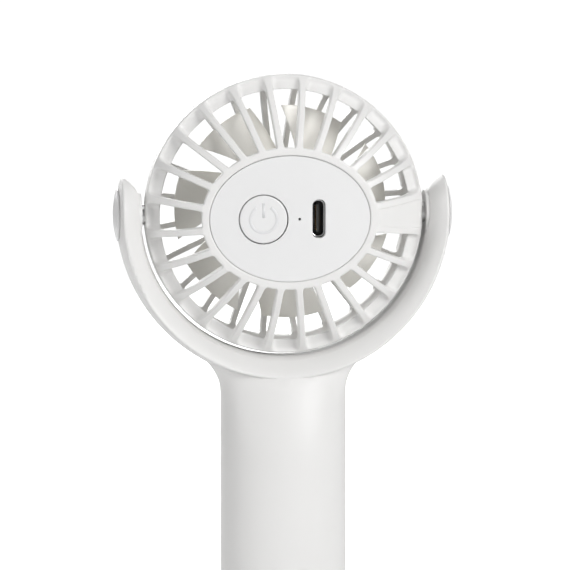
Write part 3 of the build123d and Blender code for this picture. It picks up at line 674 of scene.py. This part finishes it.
def carve(bm, cutters):
    """The bmesh with each cutter's bmesh taken out of it."""
    base = loose_object("carve_base", bm)
    tools = [loose_object("carve_tool", cutter) for cutter in cutters]
    for tool in tools:
        cut = base.modifiers.new("cut", "BOOLEAN")
        cut.operation = "DIFFERENCE"
        cut.solver = "EXACT"
        cut.object = tool
    bpy.context.view_layer.update()
    done = base.evaluated_get(bpy.context.evaluated_depsgraph_get())
    result = bmesh.new()
    result.from_mesh(done.to_mesh())
    done.to_mesh_clear()
    for obj in [base, *tools]:
        drop(obj)
    return result


def rod(radius, y_rear, y_front, x=0.0, z=0.0, segments=64):
    """Closed cylinder along the head axis."""
    bm = bmesh.new()
    bmesh.ops.create_cone(
        bm, cap_ends=True, segments=segments, radius1=radius, radius2=radius, depth=y_front - y_rear
    )
    bmesh.ops.rotate(bm, verts=bm.verts, matrix=Matrix.Rotation(math.pi / 2, 3, "X"))
    bmesh.ops.translate(bm, verts=bm.verts, vec=(x, (y_rear + y_front) / 2, z))
    return bm


def slot_prism(width, height, corner, y_rear, y_front, x=0.0):
    """Upright rounded bar along the head axis."""
    bm = bmesh.new()
    bmesh.ops.create_cube(bm, size=1.0)
    bmesh.ops.scale(bm, vec=(width, y_front - y_rear, height), verts=bm.verts)
    along = [e for e in bm.edges if abs(e.verts[0].co.y - e.verts[1].co.y) > 0.01]
    bmesh.ops.bevel(
        bm, geom=along, offset=corner, offset_type="OFFSET", segments=8, profile=0.5,
        affect="EDGES", material=-1, clamp_overlap=True,
    )
    bmesh.ops.translate(bm, verts=bm.verts, vec=(x, (y_rear + y_front) / 2, 0))
    return bm


PLATE_SEGMENTS = 128
PLATE_RINGS = (0.86, 0.7, 0.52, 0.34, 0.17)


def crowned_plate():
    """Oval plate of the cap: a crowned face over a flat back."""
    bm = bmesh.new()
    bmesh.ops.create_circle(bm, segments=PLATE_SEGMENTS, radius=1.0, cap_ends=True)
    bmesh.ops.rotate(bm, verts=bm.verts, matrix=Matrix.Rotation(math.pi / 2, 3, "X"))
    for share in PLATE_RINGS:
        inner = [f for f in bm.faces if len(f.verts) == PLATE_SEGMENTS]
        verts = bmesh.ops.extrude_face_region(bm, geom=inner)["geom"]
        bmesh.ops.delete(bm, geom=inner, context="FACES_ONLY")
        for vert in verts:
            if isinstance(vert, bmesh.types.BMVert):
                vert.co = vert.co.normalized() * share
    centre = [f for f in bm.faces if len(f.verts) == PLATE_SEGMENTS]
    bmesh.ops.poke(bm, faces=centre)
    bmesh.ops.scale(bm, vec=(CAP_HALF_WIDTH, 1.0, CAP_HALF_HEIGHT), verts=bm.verts)
    for vert in bm.verts:
        vert.co.y = crown(vert.co.x, vert.co.z)
    border = [e for e in bm.edges if e.is_boundary]
    grown = bmesh.ops.extrude_edge_only(bm, edges=border)["geom"]
    for vert in grown:
        if isinstance(vert, bmesh.types.BMVert):
            vert.co.y = CAP_UNDERSIDE
    bmesh.ops.holes_fill(bm, edges=[e for e in bm.edges if e.is_boundary])
    bmesh.ops.recalc_face_normals(bm, faces=bm.faces)
    return bm


def build_cap():
    cutters = [
        rod(BUTTON_HOLE, -20, -10, BUTTON_X, segments=96),
        rod(LED_HOLE, -20, -10, LED_X, segments=24),
        slot_prism(*USB_SLOT, USB_CORNER, -20, -10, USB_X),
    ]
    bm = carve(crowned_plate(), cutters)
    cap = mesh_piece("control_cap_moulding", bm, "head", cap_material(), ["control_cap"])
    round_edges(cap, 0.16, segments=3)
    even = cap.modifiers.new("even_normals", "WEIGHTED_NORMAL")
    even.keep_sharp = False
    even.weight = 100


def spun(profile, centre=(0.0, 0.0, 0.0), steps=96):
    """Closed body of revolution about the head axis from (radius, depth) points."""
    bm = bmesh.new()
    verts = [bm.verts.new((radius, depth, 0.0)) for radius, depth in profile]
    edges = [bm.edges.new(pair) for pair in zip(verts, verts[1:])]
    bmesh.ops.spin(
        bm, geom=verts + edges, cent=(0, 0, 0), axis=(0, 1, 0), angle=math.tau,
        steps=steps, use_merge=True, use_duplicate=False,
    )
    bmesh.ops.remove_doubles(bm, verts=bm.verts, dist=0.0005)
    bmesh.ops.recalc_face_normals(bm, faces=bm.faces)
    bmesh.ops.translate(bm, verts=bm.verts, vec=centre)
    return bm


BUTTON_TOP = -14.72


def build_button():
    r = BUTTON_RADIUS
    profile = [
        (0, BUTTON_TOP + 0.10), (r * 0.35, BUTTON_TOP + 0.085), (r * 0.7, BUTTON_TOP + 0.03),
        (r - 0.55, BUTTON_TOP), (r - 0.24, BUTTON_TOP + 0.03), (r - 0.07, BUTTON_TOP + 0.11),
        (r, BUTTON_TOP + 0.28), (r, -12.9), (r + 0.85, -12.84), (r + 0.9, -12.8),
        (r + 0.9, -12.2), (r + 0.85, -12.15), (1.6, -12.15), (1.6, -11.4), (0, -11.4),
    ]
    bm = spun(profile, (BUTTON_X, 0, 0))
    button = mesh_piece(
        "power_button_moulding", bm, "button", cap_material(), ["power_button"]
    )
    round_edges(button, 0.05, 50)
    ring = symbol_ring()
    # The raised mark gets painted shade: a grey darker than the button stands in for the shade along
    # the embossed lines.
    mesh_piece(
        "power_symbol", ring, "button",
        moulded("symbol_painted_shade", tuple(bpy.context.scene.fan_finish.symbol_shade_colour),
                roughness=0.32, drift=0.1),
    )


def symbol_ring():
    """Raised ring with a gap at the top and a bar through the gap."""
    bm = bmesh.new()
    gap = math.radians(SYMBOL_HALF_GAP_DEG)
    bead = bmesh.ops.create_circle(bm, segments=16, radius=1.0, cap_ends=False)["verts"]
    bmesh.ops.scale(bm, vec=(SYMBOL_HALF_WIDTH, SYMBOL_RISE, 1.0), verts=bead)
    bmesh.ops.translate(bm, vec=(SYMBOL_RADIUS, BUTTON_TOP + 0.05, 0), verts=bead)
    turn = Matrix.Rotation(-(math.pi / 2 + gap), 3, "Y")
    bmesh.ops.rotate(bm, cent=(0, 0, 0), matrix=turn, verts=bead)
    bmesh.ops.spin(
        bm, geom=list(bm.verts) + list(bm.edges), cent=(0, 0, 0), axis=(0, 1, 0),
        angle=-(math.tau - 2 * gap), steps=56, use_merge=False, use_duplicate=False,
    )
    bmesh.ops.holes_fill(bm, edges=[e for e in bm.edges if e.is_boundary])
    bar = bmesh.ops.create_cone(
        bm, cap_ends=True, segments=16, radius1=1.0, radius2=1.0, depth=SYMBOL_BAR_LENGTH
    )["verts"]
    bmesh.ops.scale(bm, vec=(SYMBOL_HALF_WIDTH, SYMBOL_RISE, 1.0), verts=bar)
    bmesh.ops.translate(bm, vec=(0, BUTTON_TOP + 0.06, SYMBOL_BAR_CENTRE), verts=bar)
    bmesh.ops.translate(bm, vec=(BUTTON_X, 0, 0), verts=bm.verts)
    bmesh.ops.recalc_face_normals(bm, faces=bm.faces)
    return bm


def build_led_hole_shade_plug():
    # A black plug sits in the indicator hole: a dark piece that paints the shade deep in the hole.
    profile = [
        (0, CAP_TOP + 0.22), (0.2, CAP_TOP + 0.23), (0.3, CAP_TOP + 0.3), (0.3, -13.1), (0, -13.1),
    ]
    bm = spun(profile, (LED_X, 0, 0), 24)
    mesh_piece("led_lens", bm, "head", finish_for("black_plastic"))


CONTACT_COUNT = 12
CONTACT_PITCH = 0.5
CONTACT_SIZE = (0.05, 2.6, 0.26)
CONTACT_SIDE = 0.37
CONTACT_DEPTH = -10.85


def build_contacts():
    """Gold contact strips on both faces of the socket's tongue."""
    bm = bmesh.new()
    for side in (-1, 1):
        for i in range(CONTACT_COUNT):
            strip = bmesh.ops.create_cube(bm, size=1.0)["verts"]
            bmesh.ops.scale(bm, vec=CONTACT_SIZE, verts=strip)
            z = (i - (CONTACT_COUNT - 1) / 2) * CONTACT_PITCH
            bmesh.ops.translate(bm, vec=(USB_X + side * CONTACT_SIDE, CONTACT_DEPTH, z), verts=strip)
    gold = moulded("contact_gold", (0.80, 0.58, 0.25), metallic=1.0, roughness=0.28)
    mesh_piece("usb_contacts", bm, "head", gold)


class FAN_OT_controls(bpy.types.Operator):
    """Model the control cap, the power button with its mark, a black plug that paints the shade in
    the indicator hole, and the contacts
    """

    bl_idname = "fan.controls"
    bl_label = "Model the controls"

    def execute(self, context):
        build_cap()
        build_button()
        build_led_hole_shade_plug()
        build_contacts()
        return {"FINISHED"}


# radius in mm that each carried-over solid's moulded edges get
NODE_ROUNDING = {
    "body_rear_shell": 0.12,
    "body_front_shell": 0.12,
    "front_grille": 0.22,
    "impeller": 0.18,
    "base_cap": 0.15,
    "base_pad": 0.2,
    "usb_c_shell": 0.08,
    "motor_can": 0.15,
}


class FAN_OT_finish_nodes(bpy.types.Operator):
    """Give every carried-over solid its finish and round its edges"""

    bl_idname = "fan.finish_nodes"
    bl_label = "Finish the fan's solids"

    def execute(self, context):
        slots = {item["node"]: item["material_slot"] for item in frame["record"]["subparts"]}
        for name, obj in NODES.items():
            if name not in slots:
                raise RuntimeError(f"{name} has no material slot in the record")
            paint(obj, finish_for(slots[name]))
        for name, width in NODE_ROUNDING.items():
            soften(NODES[name], width * MM)
        return {"FINISHED"}


class FAN_OT_stage(bpy.types.Operator):
    """Build the floor, the lights and the camera"""

    bl_idname = "fan.stage"
    bl_label = "Build the studio"

    def execute(self, context):
        values = context.scene.fan_stage
        build_floor()
        build_lights(values)
        build_camera(values)
        context.scene.view_settings.view_transform = "Standard"
        return {"FINISHED"}


FLOOR_HALF_SIZE = 30.0
FLOOR_COLOUR = (0.86, 0.86, 0.86)
# the floor brightens with distance in metres, so that its far edge meets the white background
FLOOR_GLOW = (("From Min", 0.1), ("From Max", 0.9), ("To Min", 0.25), ("To Max", 0.95))


def build_floor():
    bm = bmesh.new()
    bmesh.ops.create_grid(bm, x_segments=1, y_segments=1, size=FLOOR_HALF_SIZE)
    mesh = bpy.data.meshes.new("studio_floor")
    bm.to_mesh(mesh)
    bm.free()
    floor = bpy.data.objects.new("studio_floor", mesh)
    bpy.context.scene.collection.objects.link(floor)
    material = bpy.data.materials.new("studio_floor")
    tree = new_tree(material)
    path = add_node(tree, "ShaderNodeLightPath")
    diffuse = add_node(tree, "ShaderNodeBsdfDiffuse")
    diffuse.inputs["Color"].default_value = (*FLOOR_COLOUR, 1.0)
    glow = add_node(tree, "ShaderNodeEmission")
    place = add_node(tree, "ShaderNodeTexCoord")
    reach = add_node(tree, "ShaderNodeVectorMath", operation="LENGTH")
    far = add_node(tree, "ShaderNodeMapRange")
    for name, value in FLOOR_GLOW:
        far.inputs[name].default_value = value
    lift = add_node(tree, "ShaderNodeMath", operation="MULTIPLY")
    total = add_node(tree, "ShaderNodeAddShader")
    output = add_node(tree, "ShaderNodeOutputMaterial")
    link = tree.links.new
    link(place.outputs["Object"], reach.inputs[0])
    link(reach.outputs["Value"], far.inputs["Value"])
    link(far.outputs["Result"], lift.inputs[1])
    link(path.outputs["Is Camera Ray"], lift.inputs[0])
    link(lift.outputs[0], glow.inputs["Strength"])
    link(diffuse.outputs[0], total.inputs[0])
    link(glow.outputs[0], total.inputs[1])
    link(total.outputs[0], output.inputs["Surface"])
    paint(floor, material)


def area_light(name, position, target, size, power):
    data = bpy.data.lights.new(name, "AREA")
    data.shape = "RECTANGLE"
    data.size, data.size_y = size
    data.energy = power
    lamp = bpy.data.objects.new(name, data)
    bpy.context.scene.collection.objects.link(lamp)
    lamp.location = position
    lamp.rotation_euler = (Vector(target) - Vector(position)).to_track_quat("-Z", "Y").to_euler()
    return lamp


# brightness of the surroundings at the sides, as a share of that in front and behind
SIDE_SHARE = 0.25
# name, place, width and height in metres, and power as a share of the key light's
LAMPS = (
    ("key_right", (0.60, -0.76, 0.52), (0.34, 0.44), 1.0),
    ("top_soft", (0.10, 0.0, 0.85), (0.5, 0.5), 0.14),
    ("fill_left", (-0.85, -0.42, 0.45), (0.45, 0.55), 0.42),
    ("back_soft", (-0.2, 0.9, 0.5), (0.7, 0.7), 0.95),
)


def build_lights(values):
    world = bpy.data.worlds.new("studio")
    bpy.context.scene.world = world
    tree = new_tree(world)
    path = add_node(tree, "ShaderNodeLightPath")
    even = add_node(tree, "ShaderNodeBackground")
    seen = add_node(tree, "ShaderNodeBackground")
    mix = add_node(tree, "ShaderNodeMixShader")
    output = add_node(tree, "ShaderNodeOutputWorld")
    # brighter from the front and the back than from the sides
    where = add_node(tree, "ShaderNodeTexCoord")
    split = add_node(tree, "ShaderNodeSeparateXYZ")
    square = add_node(tree, "ShaderNodeMath", operation="MULTIPLY")
    level = add_node(tree, "ShaderNodeMath", operation="MULTIPLY_ADD")
    level.inputs[1].default_value = values.fill_level * (1.0 - SIDE_SHARE)
    level.inputs[2].default_value = values.fill_level * SIDE_SHARE
    link = tree.links.new
    link(where.outputs["Generated"], split.inputs[0])
    link(split.outputs["Y"], square.inputs[0])
    link(split.outputs["Y"], square.inputs[1])
    link(square.outputs[0], level.inputs[0])
    link(level.outputs[0], even.inputs["Strength"])
    link(path.outputs["Is Camera Ray"], mix.inputs[0])
    link(even.outputs[0], mix.inputs[1])
    link(seen.outputs[0], mix.inputs[2])
    link(mix.outputs[0], output.inputs["Surface"])
    for name, position, size, share in LAMPS:
        area_light(name, position, PIVOT, size, values.key_power * share)


def view_axes(azimuth, elevation):
    """Directions towards the camera, to its right and up, in the scene."""
    back = Vector((
        math.sin(azimuth) * math.cos(elevation),
        -math.cos(azimuth) * math.cos(elevation),
        math.sin(elevation),
    ))
    right = Vector((math.cos(azimuth), math.sin(azimuth), 0.0))
    return back, right, back.cross(right)


CAMERA_SENSOR_MM = 36.0
CAMERA_NEAR = 0.01
# how far to the right of the tilt axis's centre, and below it, the camera aims
AIM_RIGHT = 0.000486
AIM_BELOW = 0.01749


def build_camera(values):
    back, right, up = view_axes(values.view_azimuth, values.view_elevation)
    data = bpy.data.cameras.new("studio_camera")
    data.sensor_width = CAMERA_SENSOR_MM
    data.lens = CAMERA_SENSOR_MM * values.view_distance / values.view_width
    data.clip_start = CAMERA_NEAR
    camera = bpy.data.objects.new("studio_camera", data)
    bpy.context.scene.collection.objects.link(camera)
    aim = PIVOT + right * AIM_RIGHT - up * AIM_BELOW
    camera.matrix_world = Matrix((
        (right.x, up.x, back.x, 0.0),
        (right.y, up.y, back.y, 0.0),
        (right.z, up.z, back.z, 0.0),
        (0.0, 0.0, 0.0, 1.0),
    ))
    camera.location = aim + back * values.view_distance
    bpy.context.scene.camera = camera


class FAN_PT_sidebar(bpy.types.Panel):
    """Fan settings and the steps that build it"""

    bl_idname = "FAN_PT_sidebar"
    bl_label = "Handheld fan"
    bl_space_type = "VIEW_3D"
    bl_region_type = "UI"
    bl_category = "Fan"

    def draw(self, context):
        for settings in (context.scene.fan_finish, context.scene.fan_stage):
            box = self.layout.box()
            for name in settings.__annotations__:
                box.prop(settings, name)
        for operator in OPERATORS:
            self.layout.operator(operator.bl_idname)


OPERATORS = (FAN_OT_finish_nodes, FAN_OT_rear_grille, FAN_OT_controls, FAN_OT_stage)
CLASSES = (FanFinishSettings, FanStageSettings, *OPERATORS, FAN_PT_sidebar)


def register():
    for cls in CLASSES:
        bpy.utils.register_class(cls)
    bpy.types.Scene.fan_finish = bpy.props.PointerProperty(type=FanFinishSettings)
    bpy.types.Scene.fan_stage = bpy.props.PointerProperty(type=FanStageSettings)


def unregister():
    del bpy.types.Scene.fan_stage
    del bpy.types.Scene.fan_finish
    for cls in reversed(CLASSES):
        bpy.utils.unregister_class(cls)


def main():
    register()
    bpy.ops.fan.finish_nodes()
    bpy.ops.fan.rear_grille()
    bpy.ops.fan.controls()
    bpy.ops.fan.stage()


if __name__ == "__main__":
    main()
